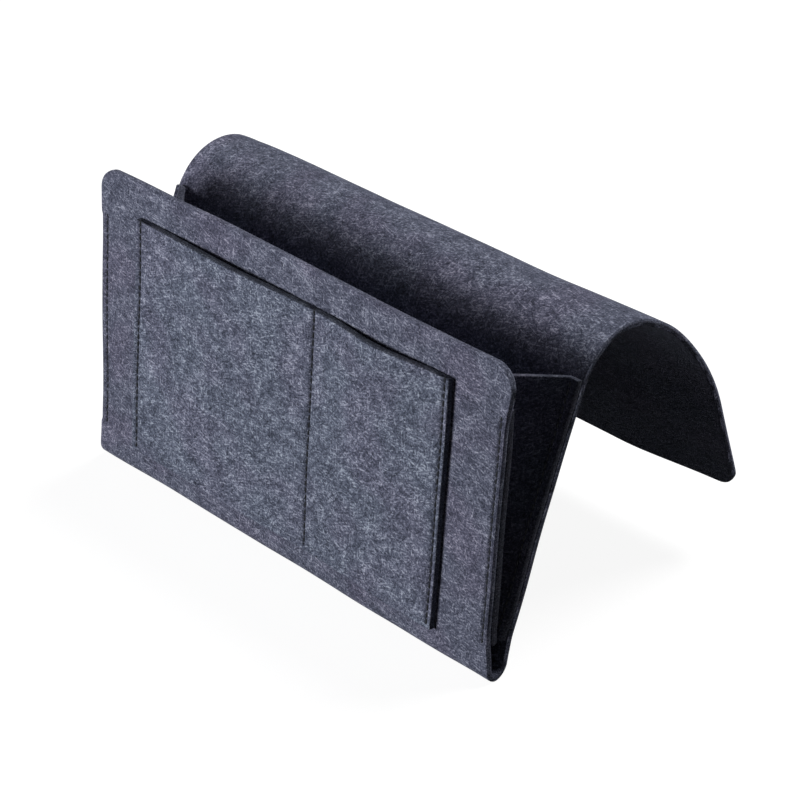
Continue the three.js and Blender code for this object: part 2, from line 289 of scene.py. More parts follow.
def felt_finish(name, bolt, tint, painted_edge_shade):
    """Melange felt. The bolt number moves the pattern and the tint is the dye lot, except that the gusset's
    grey tint is painted shade. Near the cut edge the colour is multiplied by a painted shade."""

    def tinted(*colour):
        return tuple(value * share for value, share in zip(colour, tint))

    material = bpy.data.materials.new(name)
    material.use_nodes = True
    bench = Bench(material.node_tree)
    flat = bench.add("ShaderNodeAttribute", {"attribute_name": FLAT_PLACE}, out="Vector")
    edge = bench.add("ShaderNodeAttribute", {"attribute_name": CUT_EDGE}, out="Fac")
    seam = bench.add("ShaderNodeAttribute", {"attribute_name": SEAM_PULL}, out="Fac")

    def fluff(size, detail, shift):
        place = bench.add("ShaderNodeMapping", {"vector_type": "TEXTURE"}, {
            "Vector": flat, "Location": (shift, bolt, shift), "Scale": (size, size, size)})
        return bench.add("ShaderNodeTexNoise", {"noise_dimensions": "3D"}, {
            "Vector": place, "Scale": 1, "Detail": detail, "Roughness": 0.6})

    def streaks(shift):
        most = None
        for i, turn in enumerate(STREAK_TURNS):
            place = bench.add("ShaderNodeMapping", {"vector_type": "TEXTURE"}, {
                "Vector": flat, "Location": (shift + i, bolt, shift), "Rotation": (0, 0, turn + shift),
                "Scale": (STREAK_LENGTH, STREAK_WIDTH, STREAK_DEPTH)})
            lie = bench.add("ShaderNodeTexNoise", {"noise_dimensions": "3D"}, {
                "Vector": place, "Scale": 1, "Detail": 1, "Roughness": 0.5, "Distortion": 0.12})
            strand = bench.rise(lie, *STRAND_EDGE)
            most = strand if most is None else most.larger(strand)
        return most

    grain = fluff(GRAIN, 3, 0.1)
    cloud = fluff(CLOUD, 2, 0.4)
    pale = streaks(0.0)
    dark = streaks(0.7)
    shade = (MIDDLE_SHADE + (grain - 0.5) * GRAIN_WEIGHT + (cloud - 0.5) * CLOUD_WEIGHT
             + pale * PALE_WEIGHT - dark * DARK_WEIGHT)
    colour = bench.add("ShaderNodeValToRGB", {"stops": [
        (0.00, tinted(0.016, 0.018, 0.028)),
        (0.40, tinted(0.075, 0.082, 0.122)),
        (0.62, tinted(0.145, 0.156, 0.218)),
        (1.00, tinted(0.400, 0.420, 0.520)),
    ]}, {"Fac": shade})
    warm = bench.add("ShaderNodeMix", {"data_type": "RGBA", "blend_type": "MULTIPLY"}, {
        "Factor_Float": bench.rise(fluff(WARM_PATCH, 1, 0.9), *WARM_EDGE), "A_Color": colour,
        "B_Color": WARM_TINT}, out="Result_Color")
    # Painted shade on the cut edges: near an edge the colour is multiplied by the edge's shade factor.
    cut_edge_painted_shade = bench.add("ShaderNodeMix", {"data_type": "RGBA", "blend_type": "MULTIPLY"}, {
        "Factor_Float": edge, "A_Color": warm, "B_Color": (painted_edge_shade, painted_edge_shade, painted_edge_shade, 1)},
        out="Result_Color")
    # Seam grooves: the pressed felt's darker colour and painted shade in the groove, in one multiply.
    pressed_and_shaded = bench.add("ShaderNodeMix", {"data_type": "RGBA", "blend_type": "MULTIPLY"}, {
        "Factor_Float": seam, "A_Color": cut_edge_painted_shade, "B_Color": SEAM_PRESS_AND_SHADE}, out="Result_Color")
    nap = (grain * NAP_GRAIN + pale * NAP_STREAK - dark * NAP_STREAK
           + fluff(FUZZ, 1, 0.7) * NAP_FUZZ)
    relief = bench.add("ShaderNodeBump", sockets={"Strength": 0.7, "Distance": 0.0005, "Height": nap})
    felt = bench.add("ShaderNodeBsdfPrincipled", sockets={
        "Base Color": pressed_and_shaded, "Roughness": 0.95, "Specular IOR Level": 0.15, "Sheen Weight": 0.12,
        "Sheen Roughness": 0.45, "Sheen Tint": (0.80, 0.86, 1, 1), "Normal": relief})
    bench.add("ShaderNodeOutputMaterial", sockets={"Surface": felt})
    return material


# Painted shade on cut edges: 0.4 on the pocket, 0.55 on the gussets; 1.0 leaves the body's edges alone.
body_felt = felt_finish("body_felt", bolt=0.0, tint=(1, 1, 1), painted_edge_shade=1.0)
pocket_felt = felt_finish("pocket_felt", bolt=3.1, tint=(1.13, 1.19, 1.16), painted_edge_shade=0.4)
# The gusset's 0.9 tint is painted shade: it is the same felt as the body.
gusset_felt = felt_finish("gusset_felt", bolt=7.7, tint=(0.9, 0.9, 0.9), painted_edge_shade=0.55)
print("felts:", body_felt.name, pocket_felt.name, gusset_felt.name)

# %% [markdown]
# ## How sewn felt settles
# New felt is flat, but sewing and handling leave small pulls. The left side is stretched, the pocket's left
# seam leans outwards and its lower right corner sags, the right gusset seam draws the lip in, the fold's
# open ends spread, the back's left end moves in, the top edge waves, and the flap's right end curls
# outwards. One smooth rule for every point of space moves all the pieces, so that layers that are sewn
# together stay together. Each pull has a size, and zones along X, Y, Z or the height above the floor where
# it fades in and out. A faint unevenness comes last, from noise that is the same in every run.

# %% How sewn felt settles
FRONT_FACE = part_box("front_panel")[0].y
FRONT_HEIGHT = 0.196
FRONT_LAYERS_Y = (-0.090, -0.080)
ARCH_BEGINS_Y = (-0.050, -0.020)

LEFT_STRETCH = 0.0022
FLARE = 0.0008
END_X = (0.100, 0.160)
SPREAD_HEIGHT = (0, 0.025)

ARCH_SHIFT = 0.0004
ARCH_LEFT_X = (0.060, 0.160)
ARCH_LEFT_Y = (-0.070, -0.030)
ARCH_LEFT_Z = (-0.090, -0.020)
BACK_SHIFT = 0.0022
BACK_END_X = (0.138, 0.160)
BACK_END_Y = (-0.070, -0.045)
BACK_END_Z = (-0.100, -0.030, -0.020, 0.004)
ARCH_DROOP = 0.0008
DROOP_Y = (0.020, 0.080)
DROOP_Z = (-0.030, 0)

FOLD_BELLY = 0.0016
FOLD_TAPER = 0.0016
FOLD_END_X = (0.110, 0.160)
FOLD_END_DEPTH = (0.004, 0.013)
BELLY_HEIGHT = (0.010, 0.032, 0.040, 0.090)
TAPER_HEIGHT = (0.004, 0.020)

POCKET_LEAN_TOP = 0.0020
POCKET_LEAN_LOW = 0.0057
LEFT_SEAM_X = (-0.158, -0.124, -0.100, 0.010)
POCKET_PULL = 0.0018
RIGHT_SEAM_X = (0.060, 0.112, 0.128, 0.152)
POCKET_SAG = 0.0030
SAG_X = (0.020, 0.115, 0.128, 0.150)
SAG_HEIGHT = (0, 0.014, 0.030, 0.100)

LIP_DRAW = 0.0026
LIP_TUCK = 0.0010
LIP_START = 0.1535
LIP_WIDE = 0.0065
LIP_MOST = 1.1
LIP_CURVE = 1.25
LIP_Y = (-0.084, -0.074)
LIP_LOW_HEIGHT = (0.006, 0.036)
LIP_TOP_HEIGHT = (0.158, 0.182)
TUCK_HEIGHT = (0.140, 0.170)
FLANGE_DEPTH = (0.0040, 0.0043)

CURL_OUT = 0.0042
CURL_LIFT = 0.0027
CURL_X = (0.075, 0.165)
CURL_OUT_Y = (0.060, 0.125)
CURL_LIFT_Y = (0.002, 0.045)

TOP_DROP = 0.0022
TOP_WAVE = 0.0010
WAVE_CREST = -0.06
WAVE_HALF = 0.17
WAVE_HEIGHT = (0.100, FRONT_HEIGHT)
WAVE_Y = (-0.085, -0.050)

UNEVEN = 0.0006
UNEVEN_SIZE = 0.05
UNEVEN_APART = (Vector((0.3, 0.7, 0.2)), Vector((17.3, 5.1, 9.7)), Vector((3.9, 23.6, 14.2)))


def ease(value, low, high):
    """0 below low, 1 above high, smooth between."""
    share = np.clip((value - low) / (high - low), 0, 1)
    return share * share * (3 - 2 * share)


def hump(value, start, full, leave, end):
    """1 between full and leave, easing to 0 at start and end."""
    return ease(value, start, full) * (1 - ease(value, leave, end))


def behind_front(depths):
    """Y at depths behind the front's outer face."""
    return [FRONT_FACE + depth for depth in depths]


def settle(points):
    """Points after the felt has settled."""
    x, y, z = points.T
    height = z - FLOOR
    pouch = 1 - ease(y, *ARCH_BEGINS_Y)
    front = 1 - ease(y, *FRONT_LAYERS_Y)
    moved = np.array(points)

    # The pouch's two ends.
    side = np.sign(x) * ease(np.abs(x), *END_X)
    spread = 1 - ease(height, *SPREAD_HEIGHT)
    moved[:, 0] += pouch * (side * FLARE * spread - LEFT_STRETCH * ease(-x, *END_X))

    # The left end of the back and of the arch.
    arch_left = ease(y, *ARCH_LEFT_Y) * ease(z, *ARCH_LEFT_Z) * ease(-x, *ARCH_LEFT_X)
    left_end = ease(y, *BACK_END_Y) * ease(-x, *BACK_END_X)
    moved[:, 0] += ARCH_SHIFT * arch_left + BACK_SHIFT * left_end * hump(z, *BACK_END_Z)
    moved[:, 2] -= ARCH_DROOP * left_end * ease(z, *DROOP_Z) * (1 - ease(y, *DROOP_Y))

    # The fold's right end.
    fold_end = ease(x, *FOLD_END_X) * ease(y, *behind_front(FOLD_END_DEPTH)) * pouch
    belly = FOLD_BELLY * hump(height, *BELLY_HEIGHT)
    moved[:, 1] += fold_end * (belly - FOLD_TAPER * (1 - ease(height, *TAPER_HEIGHT)))

    # The pocket's upright seams, and the right lip with the gusset's flange behind it.
    lean = POCKET_LEAN_LOW + (POCKET_LEAN_TOP - POCKET_LEAN_LOW) * height / FRONT_HEIGHT
    left_seam = lean * hump(x, *LEFT_SEAM_X)
    right_seam = POCKET_PULL * hump(x, *RIGHT_SEAM_X)
    lip = np.clip((x - LIP_START) / LIP_WIDE, 0, LIP_MOST) ** LIP_CURVE * ease(height, *LIP_LOW_HEIGHT)
    flange = ease(y, *behind_front(FLANGE_DEPTH))
    front_draw = (1 - flange) * LIP_DRAW * (1 - ease(height, *LIP_TOP_HEIGHT))
    flange_draw = flange * (LIP_DRAW + LIP_TUCK * ease(height, *TUCK_HEIGHT))
    lip *= front_draw + flange_draw
    moved[:, 0] -= front * (left_seam + right_seam) + lip * (1 - ease(y, *LIP_Y))

    # The flap's right end, the pocket's lower right corner and the front's top edge.
    right_end = ease(x, *CURL_X)
    moved[:, 1] += CURL_OUT * right_end * ease(y, *CURL_OUT_Y)
    moved[:, 2] += CURL_LIFT * right_end * ease(y, *CURL_LIFT_Y)
    moved[:, 2] -= POCKET_SAG * front * hump(x, *SAG_X) * hump(height, *SAG_HEIGHT)
    wave = TOP_WAVE * np.cos(math.pi * (x - WAVE_CREST) / WAVE_HALF) - TOP_DROP
    moved[:, 2] += wave * ease(height, *WAVE_HEIGHT) * (1 - ease(y, *WAVE_Y))

    places = [Vector(place) for place in (points / UNEVEN_SIZE).tolist()]
    soft = [[noise.noise(place + apart) for apart in UNEVEN_APART] for place in places]
    return moved + UNEVEN * np.array(soft)


print("the pocket's left seam leans by up to", round(1000 * POCKET_LEAN_LOW, 1), "mm")

# %% [markdown]
# ## Laying felt
# A felt piece is a grid of points on its middle surface. The two faces lie half a thickness to each side,
# the cut edge is rounded over and bulges a little, and a seam sinks into the face that it shows on. A
# Solidify modifier would give the thickness too, but not the soft edge and the sunken seams.

# %% Laying felt
FELT = 0.004
EDGE_ROUND = 0.0006
RIM_BULGE = 0.0002
# Width of the band along a cut edge that carries the painted edge shade.
PAINTED_EDGE_SPAN = 0.0008
SEAM_SINK = 0.0012
SEAM_SPREAD = 0.0010
SEAM_COLUMNS = (-0.0032, -0.0021, -0.0013, -0.0006, 0, 0.0006, 0.0013, 0.0021, 0.0032)
EDGE_COLUMNS = (0, 0.00007, 0.00022, 0.00045, 0.0007, 0.0016)
ON_EDGE = 1e-6


def spread_lines(low, high, step, fine):
    """Grid lines from low to high, with a line at each of the fine places and none close beside them."""
    fine = sorted({round(place, 6) for place in fine if low <= place <= high} | {low, high})
    lines = list(fine)
    for a, b in zip(fine, fine[1:]):
        gaps = max(1, round((b - a) / step))
        lines += [a + (b - a) * i / gaps for i in range(1, gaps)]
    return np.array(sorted(lines))


def sunk(distance):
    """How far a face sinks at a distance from a seam."""
    return SEAM_SINK * np.exp(-(distance / SEAM_SPREAD) ** 2)


def mesh_object(name, vertices, faces, finish):
    mesh = bpy.data.meshes.new(name)
    mesh.from_pydata(vertices.tolist(), [], faces.tolist())
    mesh.shade_smooth()
    mesh.materials.append(finish)
    piece = bpy.data.objects.new(name, mesh)
    bpy.context.scene.collection.objects.link(piece)
    return piece


def outward(vertices, faces):
    """The same faces, turned so that the closed piece's volume is positive."""
    a, b, c, d = (vertices[faces[:, i]] for i in range(4))
    volume = np.einsum("ij,ij->", a, np.cross(b, c)) + np.einsum("ij,ij->", a, np.cross(c, d))
    return faces if volume > 0 else faces[:, ::-1]


def lay_felt(name, middle, flat, edge, sinks, finish, mirror=1):
    """A closed felt piece over a grid: its places in space and on the flat felt, the distance of each to
    the cut edge, and how far the upper and lower faces sink. A mirror of -1 makes the left-hand piece."""
    rows, columns = middle.shape[:2]
    normal = np.cross(np.gradient(middle, axis=1), np.gradient(middle, axis=0))
    normal /= np.linalg.norm(normal, axis=2, keepdims=True)
    inset = np.clip(EDGE_ROUND - edge, 0, EDGE_ROUND)
    half = FELT / 2 - EDGE_ROUND + np.sqrt(EDGE_ROUND ** 2 - inset ** 2)
    upper = half - sinks[0]
    lower = sinks[1] - half

    grid = np.arange(rows * columns).reshape(rows, columns)
    rim = np.concatenate([grid[0], grid[1:, -1], grid[-1, -2::-1], grid[-2:0:-1, 0]])
    rim_middle = middle.reshape(-1, 3)[rim]
    rim_along = np.roll(rim_middle, -1, axis=0) - np.roll(rim_middle, 1, axis=0)
    rim_out = np.cross(rim_along, normal.reshape(-1, 3)[rim])
    rim_out /= np.linalg.norm(rim_out, axis=1, keepdims=True)
    cut = edge.ravel()[rim] < ON_EDGE
    vertices = np.concatenate([
        (middle + normal * upper[..., None]).reshape(-1, 3),
        (middle + normal * lower[..., None]).reshape(-1, 3),
        rim_middle + rim_out * RIM_BULGE * cut[:, None],
    ])
    vertices[:, 0] *= mirror

    size = rows * columns
    top = np.stack([grid[:-1, :-1], grid[:-1, 1:], grid[1:, 1:], grid[1:, :-1]], axis=2).reshape(-1, 4)
    ring = 2 * size + np.arange(len(rim))
    after = np.roll(np.arange(len(rim)), -1)
    low_wall = np.stack([size + rim, size + rim[after], ring[after], ring], axis=1)
    high_wall = np.stack([ring, ring[after], rim[after], rim], axis=1)
    faces = outward(vertices, np.concatenate([top, size + top[:, ::-1], low_wall, high_wall]))
    piece = mesh_object(name, settle(vertices), faces, finish)

    heights = np.concatenate([upper.ravel(), lower.ravel(), np.zeros(len(rim))])
    across = np.concatenate([flat.reshape(-1, 2), flat.reshape(-1, 2), flat.reshape(-1, 2)[rim]])
    places = np.column_stack([across, heights])
    near = np.concatenate([edge.ravel(), edge.ravel(), np.zeros(len(rim))])
    piece.data.attributes.new(FLAT_PLACE, "FLOAT_VECTOR", "POINT").data.foreach_set(
        "vector", places.astype(np.float32).ravel())
    # The cut-edge band, where the felt finish paints shade.
    piece.data.attributes.new(CUT_EDGE, "FLOAT", "POINT").data.foreach_set(
        "value", (1 - ease(near, 0, PAINTED_EDGE_SPAN)).astype(np.float32))
    # The seam mask, which the felt finish darkens as pressed felt and as painted shade.
    pulled = np.concatenate([sinks[0].ravel(), sinks[1].ravel(), np.zeros(len(rim))]) / SEAM_SINK
    piece.data.attributes.new(SEAM_PULL, "FLOAT", "POINT").data.foreach_set(
        "value", pulled.astype(np.float32))
    flush = np.zeros(len(vertices), bool)
    flush[rim[~cut]] = True
    flush[size + rim[~cut]] = True
    ends = np.array([mesh_edge.vertices[:] for mesh_edge in piece.data.edges])
    sharp = flush[ends].all(axis=1)
    piece.data.attributes.new("sharp_edge", "BOOLEAN", "EDGE").data.foreach_set("value", sharp)
    print(name, "faces:", len(faces))
    return piece


# %% [markdown]
# ## Body sheet
# One strip of felt, 320 mm wide and 613 mm long, is the whole body: down the front, round the fold, up the
# leaning back, over the arch and down the flap. Its middle line is a chain of straight stretches and
# bends. A blend follows only one joint, so the strip is laid in two pieces that meet flush about halfway
# up the back, where nothing bends.

# %% Middle line of the body sheet
FOLD_RADIUS = 0.007
FOLD_RISE = 0.008
LEAN_RADIUS = 0.052
LEAN = math.radians(16.5)
ARCH_RADIUS = 0.0365
ARCH_TURN = math.radians(100.5)
FLAP_RADIUS = 0.160
FLAP_TURN = math.radians(40.5)
FLAP_LENGTH = 0.068

front_low, front_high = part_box("front_panel")
WIDTH = front_high.x - front_low.x
FRONT_INSIDE = FRONT_FACE + FELT
FRONT_TOP = front_high.z
fold_height = FLOOR + FELT / 2 + FOLD_RADIUS
lean_height = fold_height + FOLD_RISE + LEAN_RADIUS * math.sin(LEAN)
arch_height = FELT / 2 - ARCH_RADIUS + ARCH_RADIUS * math.sin(LEAN)
STRETCHES = [
    (FRONT_TOP - fold_height, 0),
    (FOLD_RADIUS * math.pi, 1 / FOLD_RADIUS),
    (FOLD_RISE, 0),
    (LEAN_RADIUS * LEAN, -1 / LEAN_RADIUS),
    ((arch_height - lean_height) / math.cos(LEAN), 0),
    (ARCH_RADIUS * ARCH_TURN, -1 / ARCH_RADIUS),
    (FLAP_RADIUS * FLAP_TURN, -1 / FLAP_RADIUS),
    (FLAP_LENGTH, 0),
]


def walk(y, z, heading, turn, length):
    """Y, Z and heading after a length walked with an even turn."""
    ahead = heading + turn * length
    if turn == 0:
        return y + length * np.cos(heading), z + length * np.sin(heading), ahead
    return (y + (np.sin(ahead) - np.sin(heading)) / turn,
            z - (np.cos(ahead) - np.cos(heading)) / turn, ahead)


stations = []
walked = 0
place = (FRONT_FACE + FELT / 2, FRONT_TOP, -math.pi / 2)
for length, turn in STRETCHES:
    stations.append((walked, *place, turn))
    place = walk(*place, turn, length)
    walked += length
SHEET_LENGTH = walked
FOLD_START = stations[1][0]
BACK_START = stations[4][0]
ARCH_START = stations[5][0]


def middle_line(along):
    """Y and Z on the sheet's middle line at lengths along it, from the front's top edge."""
    line = np.zeros((len(along), 2))
    for start, y, z, heading, turn in stations:
        past = along >= start
        line_y, line_z, _ = walk(y, z, heading, turn, along[past] - start)
        line[past] = np.column_stack([line_y, line_z])
    return line


print("sheet", round(WIDTH, 3), "x", round(SHEET_LENGTH, 4), "flap ends at", place[:2])

# %% [markdown]
# The seams sink into the sheet where they show on it: the gusset seams outside, on the front and on the
# back, and the pocket's seams inside. Each corner is cut to an arc, so the rows near an end get shorter.

# %% Body sheet
FRONT_CORNER = 0.013
FLAP_CORNER = 0.012
GUSSET_SEAM = 0.155
POCKET_SEAM = 0.1195
POCKET_SEAM_INSET = 0.0035
DIVIDER = 0.0205
SEAM_END = 0.003
MOUTH_END = 0.0012
LIP_PRESS = 0.0007
SEAM_FADE = 0.002
CORNER_STEP = 9
ROW_STEP = 0.0026
FOLD_STEP = 0.0011
PAST_MIDDLE = 0.010
BACK_POINTS = 50
HALF_UP_BACK = (BACK_START + ARCH_START) / 2 + PAST_MIDDLE

pocket_low, pocket_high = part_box("pocket_panel")
gusset_low, gusset_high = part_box("right_gusset")
POCKET_BOTTOM_SEAM = pocket_low.z + POCKET_SEAM_INSET
POCKET_SEAM_TOP = pocket_high.z - MOUTH_END
GUSSET_SEAM_LOW = gusset_low.z + SEAM_END
GUSSET_SEAM_HIGH = gusset_high.z - SEAM_END
back_lengths = np.linspace(BACK_START, ARCH_START, BACK_POINTS)
back_heights = middle_line(back_lengths)[:, 1]
back_seam_low, back_seam_high = np.interp([GUSSET_SEAM_LOW, GUSSET_SEAM_HIGH], back_heights, back_lengths)


def around(places, offsets):
    """Every place with every offset added."""
    return [place + offset for place in places for offset in offsets]


def within(value, low, high):
    """1 between low and high, easing to 0 just outside."""
    return ease(value, low - SEAM_FADE, low) * (1 - ease(value, high, high + SEAM_FADE))


def corner_rows(radius):
    """Distances from an end at which the rows of a rounded corner lie."""
    return [radius * (1 - math.cos(math.radians(angle))) for angle in range(0, 90 + 1, CORNER_STEP)]


def rounded_edge(across, from_end, half_width, radius):
    """Distance to the cut edge of a strip with rounded corners at one end."""
    sideways = np.clip(across - (half_width - radius), 0, None)
    endways = np.clip(radius - from_end, 0, None)
    straight = np.minimum(half_width - across, from_end)
    in_corner = (sideways > 0) & (endways > 0)
    distance = np.where(in_corner, radius - np.hypot(sideways, endways), straight)
    return np.clip(distance, 0, None)


def lay_body(name, first, last, from_end, corner, fine_rows, columns):
    """The body sheet between two lengths along it. from_end gives the distance to its rounded end."""
    rows = spread_lines(first, last, ROW_STEP, fine_rows)
    ends = from_end(rows)
    short = np.clip(corner - ends, 0, corner)
    half_widths = WIDTH / 2 - corner + np.sqrt(corner ** 2 - short ** 2)
    u = columns[None, :] * (half_widths / (WIDTH / 2))[:, None]
    v = np.repeat(rows[:, None], len(columns), axis=1)
    line_y, line_z = (np.broadcast_to(part[:, None], u.shape) for part in middle_line(rows).T)
    middle = np.stack([u, line_y, line_z], axis=2)
    edge = rounded_edge(np.abs(u), ends[:, None], WIDTH / 2, corner)
    height = FRONT_TOP - v
    pocket_run = within(height, POCKET_BOTTOM_SEAM, POCKET_SEAM_TOP)
    inside = np.maximum(sunk(np.abs(u) - POCKET_SEAM), sunk(u - DIVIDER)) * pocket_run
    bottom = sunk(height - POCKET_BOTTOM_SEAM) * within(np.abs(u), 0, POCKET_SEAM)
    front_sewn = within(height, GUSSET_SEAM_LOW, GUSSET_SEAM_HIGH)
    back_sewn = within(v, back_seam_low, back_seam_high)
    outside = sunk(np.abs(u) - GUSSET_SEAM) * np.maximum(front_sewn, back_sewn)
    lip = LIP_PRESS * ease(np.abs(u), GUSSET_SEAM, WIDTH / 2) * front_sewn
    sinks = (np.maximum(inside, bottom), outside + lip)
    return lay_felt(name, middle, np.stack([u, v], axis=2), edge, sinks, body_felt)


edge_places = [side * (WIDTH / 2 - inset) for side in (-1, 1) for inset in EDGE_COLUMNS]
gusset_places = around((-GUSSET_SEAM, GUSSET_SEAM), SEAM_COLUMNS)
pocket_places = around((-POCKET_SEAM, DIVIDER, POCKET_SEAM), SEAM_COLUMNS)
pouch_columns = spread_lines(-WIDTH / 2, WIDTH / 2, ROW_STEP, edge_places + gusset_places + pocket_places)
arch_columns = spread_lines(-WIDTH / 2, WIDTH / 2, ROW_STEP, edge_places + gusset_places)
fold_rows = np.arange(FOLD_START, FOLD_START + FOLD_RADIUS * math.pi, FOLD_STEP).tolist()
bottom_rows = around((FRONT_TOP - POCKET_BOTTOM_SEAM,), SEAM_COLUMNS)
pouch_sheet = lay_body("pouch_sheet", 0, HALF_UP_BACK, lambda rows: rows, FRONT_CORNER,
                       corner_rows(FRONT_CORNER) + bottom_rows + fold_rows, pouch_columns)
flap_rows = [SHEET_LENGTH - row for row in corner_rows(FLAP_CORNER)]
arch_sheet = lay_body("arch_sheet", HALF_UP_BACK, SHEET_LENGTH, lambda rows: SHEET_LENGTH - rows,
                      FLAP_CORNER, flap_rows, arch_columns)

# %% [markdown]
# ## Patch pocket
# The pocket is a plain felt rectangle, sewn to the front along three sides and along one line off the
# middle. Between those seams it stands away from the front, most at its mouth, because it was cut a
# little wider than the place it is sewn to. Two arches across, one for each half, draw that fullness.
# The bottom seam hardly shows: its thread lies deeper, in a groove that is shallower than the others.

# %% Patch pocket
POCKET_CORNER = 0.0009
POCKET_GAP = 0.0003
MOUTH_BOW = 0.0026
PILLOW = 0.0004
MOUTH_LIFT = 0.0004
PILLOW_RISE = 0.12
BOTTOM_SINK = 0.35

pocket_width = pocket_high.x - pocket_low.x
pocket_height = pocket_high.z - pocket_low.z


def lay_pocket():
    """The patch pocket, with its mouth bowed away from the front."""
    half = pocket_width / 2
    pocket_ends = corner_rows(POCKET_CORNER) + [EDGE_COLUMNS[-1]]
    fine = [side * (half - inset) for side in (-1, 1) for inset in EDGE_COLUMNS] + pocket_places
    columns = spread_lines(-half, half, ROW_STEP, fine)
    ends = pocket_ends + [pocket_height - row for row in pocket_ends]
    rows = spread_lines(0, pocket_height, ROW_STEP, ends + around((POCKET_SEAM_INSET,), SEAM_COLUMNS))
    from_end = np.minimum(rows, pocket_height - rows)
    short = np.clip(POCKET_CORNER - from_end, 0, POCKET_CORNER)
    half_widths = half - POCKET_CORNER + np.sqrt(POCKET_CORNER ** 2 - short ** 2)
    u = columns[None, :] * (half_widths / half)[:, None]
    v = np.repeat(rows[:, None], len(columns), axis=1)
    edge = rounded_edge(np.abs(u), from_end[:, None], half, POCKET_CORNER)

    left_half = (u + POCKET_SEAM) / (DIVIDER + POCKET_SEAM)
    right_half = (u - DIVIDER) / (POCKET_SEAM - DIVIDER)
    share = np.where(u < DIVIDER, np.clip(left_half, 0, 1), np.clip(right_half, 0, 1))
    fullness = np.sin(math.pi * share) ** 2
    up = np.clip((v - POCKET_SEAM_INSET) / (pocket_height - POCKET_SEAM_INSET), 0, 1)
    bow = fullness * (MOUTH_BOW * up ** 2 + PILLOW * ease(up, 0, PILLOW_RISE))
    y = FRONT_FACE - POCKET_GAP - FELT / 2 - bow
    middle = np.stack([u, y, pocket_low.z + v + MOUTH_LIFT * up ** 2], axis=2)

    sewn = within(v, POCKET_SEAM_INSET, POCKET_SEAM_TOP - pocket_low.z)
    upright_seams = np.maximum(sunk(np.abs(u) - POCKET_SEAM), sunk(u - DIVIDER)) * sewn
    bottom_seam = BOTTOM_SINK * sunk(v - POCKET_SEAM_INSET) * within(np.abs(u), 0, POCKET_SEAM)
    sinks = (np.maximum(upright_seams, bottom_seam), np.zeros_like(u))
    return lay_felt("pocket", middle, np.stack([u, v], axis=2), edge, sinks, pocket_felt)


pocket = lay_pocket()

# %% [markdown]
# ## Gussets
# Each end of the pouch is closed by a felt gusset, sewn flat to the front and to the back and creased
# inwards between them like bellows. Seen from above it is a V whose sides grow longer upwards. Felt cannot
# fold to a sharp line, so the crease is a small arc, and each side runs from its flange straight to it.
# The crease leans inwards, so its top dips, and the left gusset's rear edge is trimmed near its top.

# %% Gussets
FLANGE = 0.007
FLANGE_GAP = 0.0003
CREASE_TOP = 0.025
CREASE_BOTTOM = 0.007
CREASE_INNER = 0.0006
CREASE_RADIUS = FELT / 2 + CREASE_INNER
CREASE_POINTS = 13
FLANGE_COLUMNS = 6
FLANGE_PLAIN = 0.42
LEAF_COLUMNS = 18
CREASE_COLUMNS = 11
SMOOTHINGS = 3
EDGE_TRIM = {-1: 0.0032, 1: 0}
TRIM_WIDE = 0.0036
TRIM_FROM_TOP = (0.045, 0.015)
CREASE_DIP = 0.0025
DIP_FROM_TOP = 0.060
FELT_APART = 0.5
ROOT = WIDTH / 2 - FLANGE
gusset_tall = gusset_high.z - gusset_low.z


def back_inside(z):
    """Y of the back's inner face at a height."""
    line = middle_line(back_lengths) + FELT / 2 * np.array([-math.cos(LEAN), math.sin(LEAN)])
    slope = (line[-1, 0] - line[0, 0]) / (line[-1, 1] - line[0, 1])
    return line[0, 0] + slope * (z - line[0, 1])


def gusset_section(z, shares):
    """The V's middle line at one height, from the front flange's edge to the back flange's edge.

    Shares from 0 to 5 run along flange, leaf, crease, leaf and flange. The points at those shares come back
    with the length to each of them and the whole length."""
    front = FRONT_INSIDE + FLANGE_GAP + FELT / 2
    back = back_inside(z) - FLANGE_GAP - FELT / 2
    depth = CREASE_BOTTOM + (CREASE_TOP - CREASE_BOTTOM) * (z - gusset_low.z) / gusset_tall
    centre = np.array([ROOT - depth - FELT / 2 + CREASE_RADIUS, (front + back) / 2])
    knee = np.array([ROOT, front])
    reach = np.linalg.norm(knee - centre)
    lean = math.atan2(knee[1] - centre[1], knee[0] - centre[0]) - math.acos(min(1, CREASE_RADIUS / reach))
    swing = np.linspace(lean, lean - 2 * (math.pi + lean), CREASE_POINTS)
    arc = centre + CREASE_RADIUS * np.column_stack([np.cos(swing), np.sin(swing)])
    route = np.vstack([[WIDTH / 2, front], knee, arc, [ROOT, back], [WIDTH / 2, back]])
    steps = np.concatenate([[0], np.cumsum(np.linalg.norm(np.diff(route, axis=0), axis=1))])
    knots = np.concatenate([[0, 1], np.linspace(2, 3, len(arc)), [4, 5]])
    at = np.interp(shares, knots, steps)
    plan = np.column_stack([np.interp(at, steps, route[:, 0]), np.interp(at, steps, route[:, 1])])
    return plan, at, steps[-1]


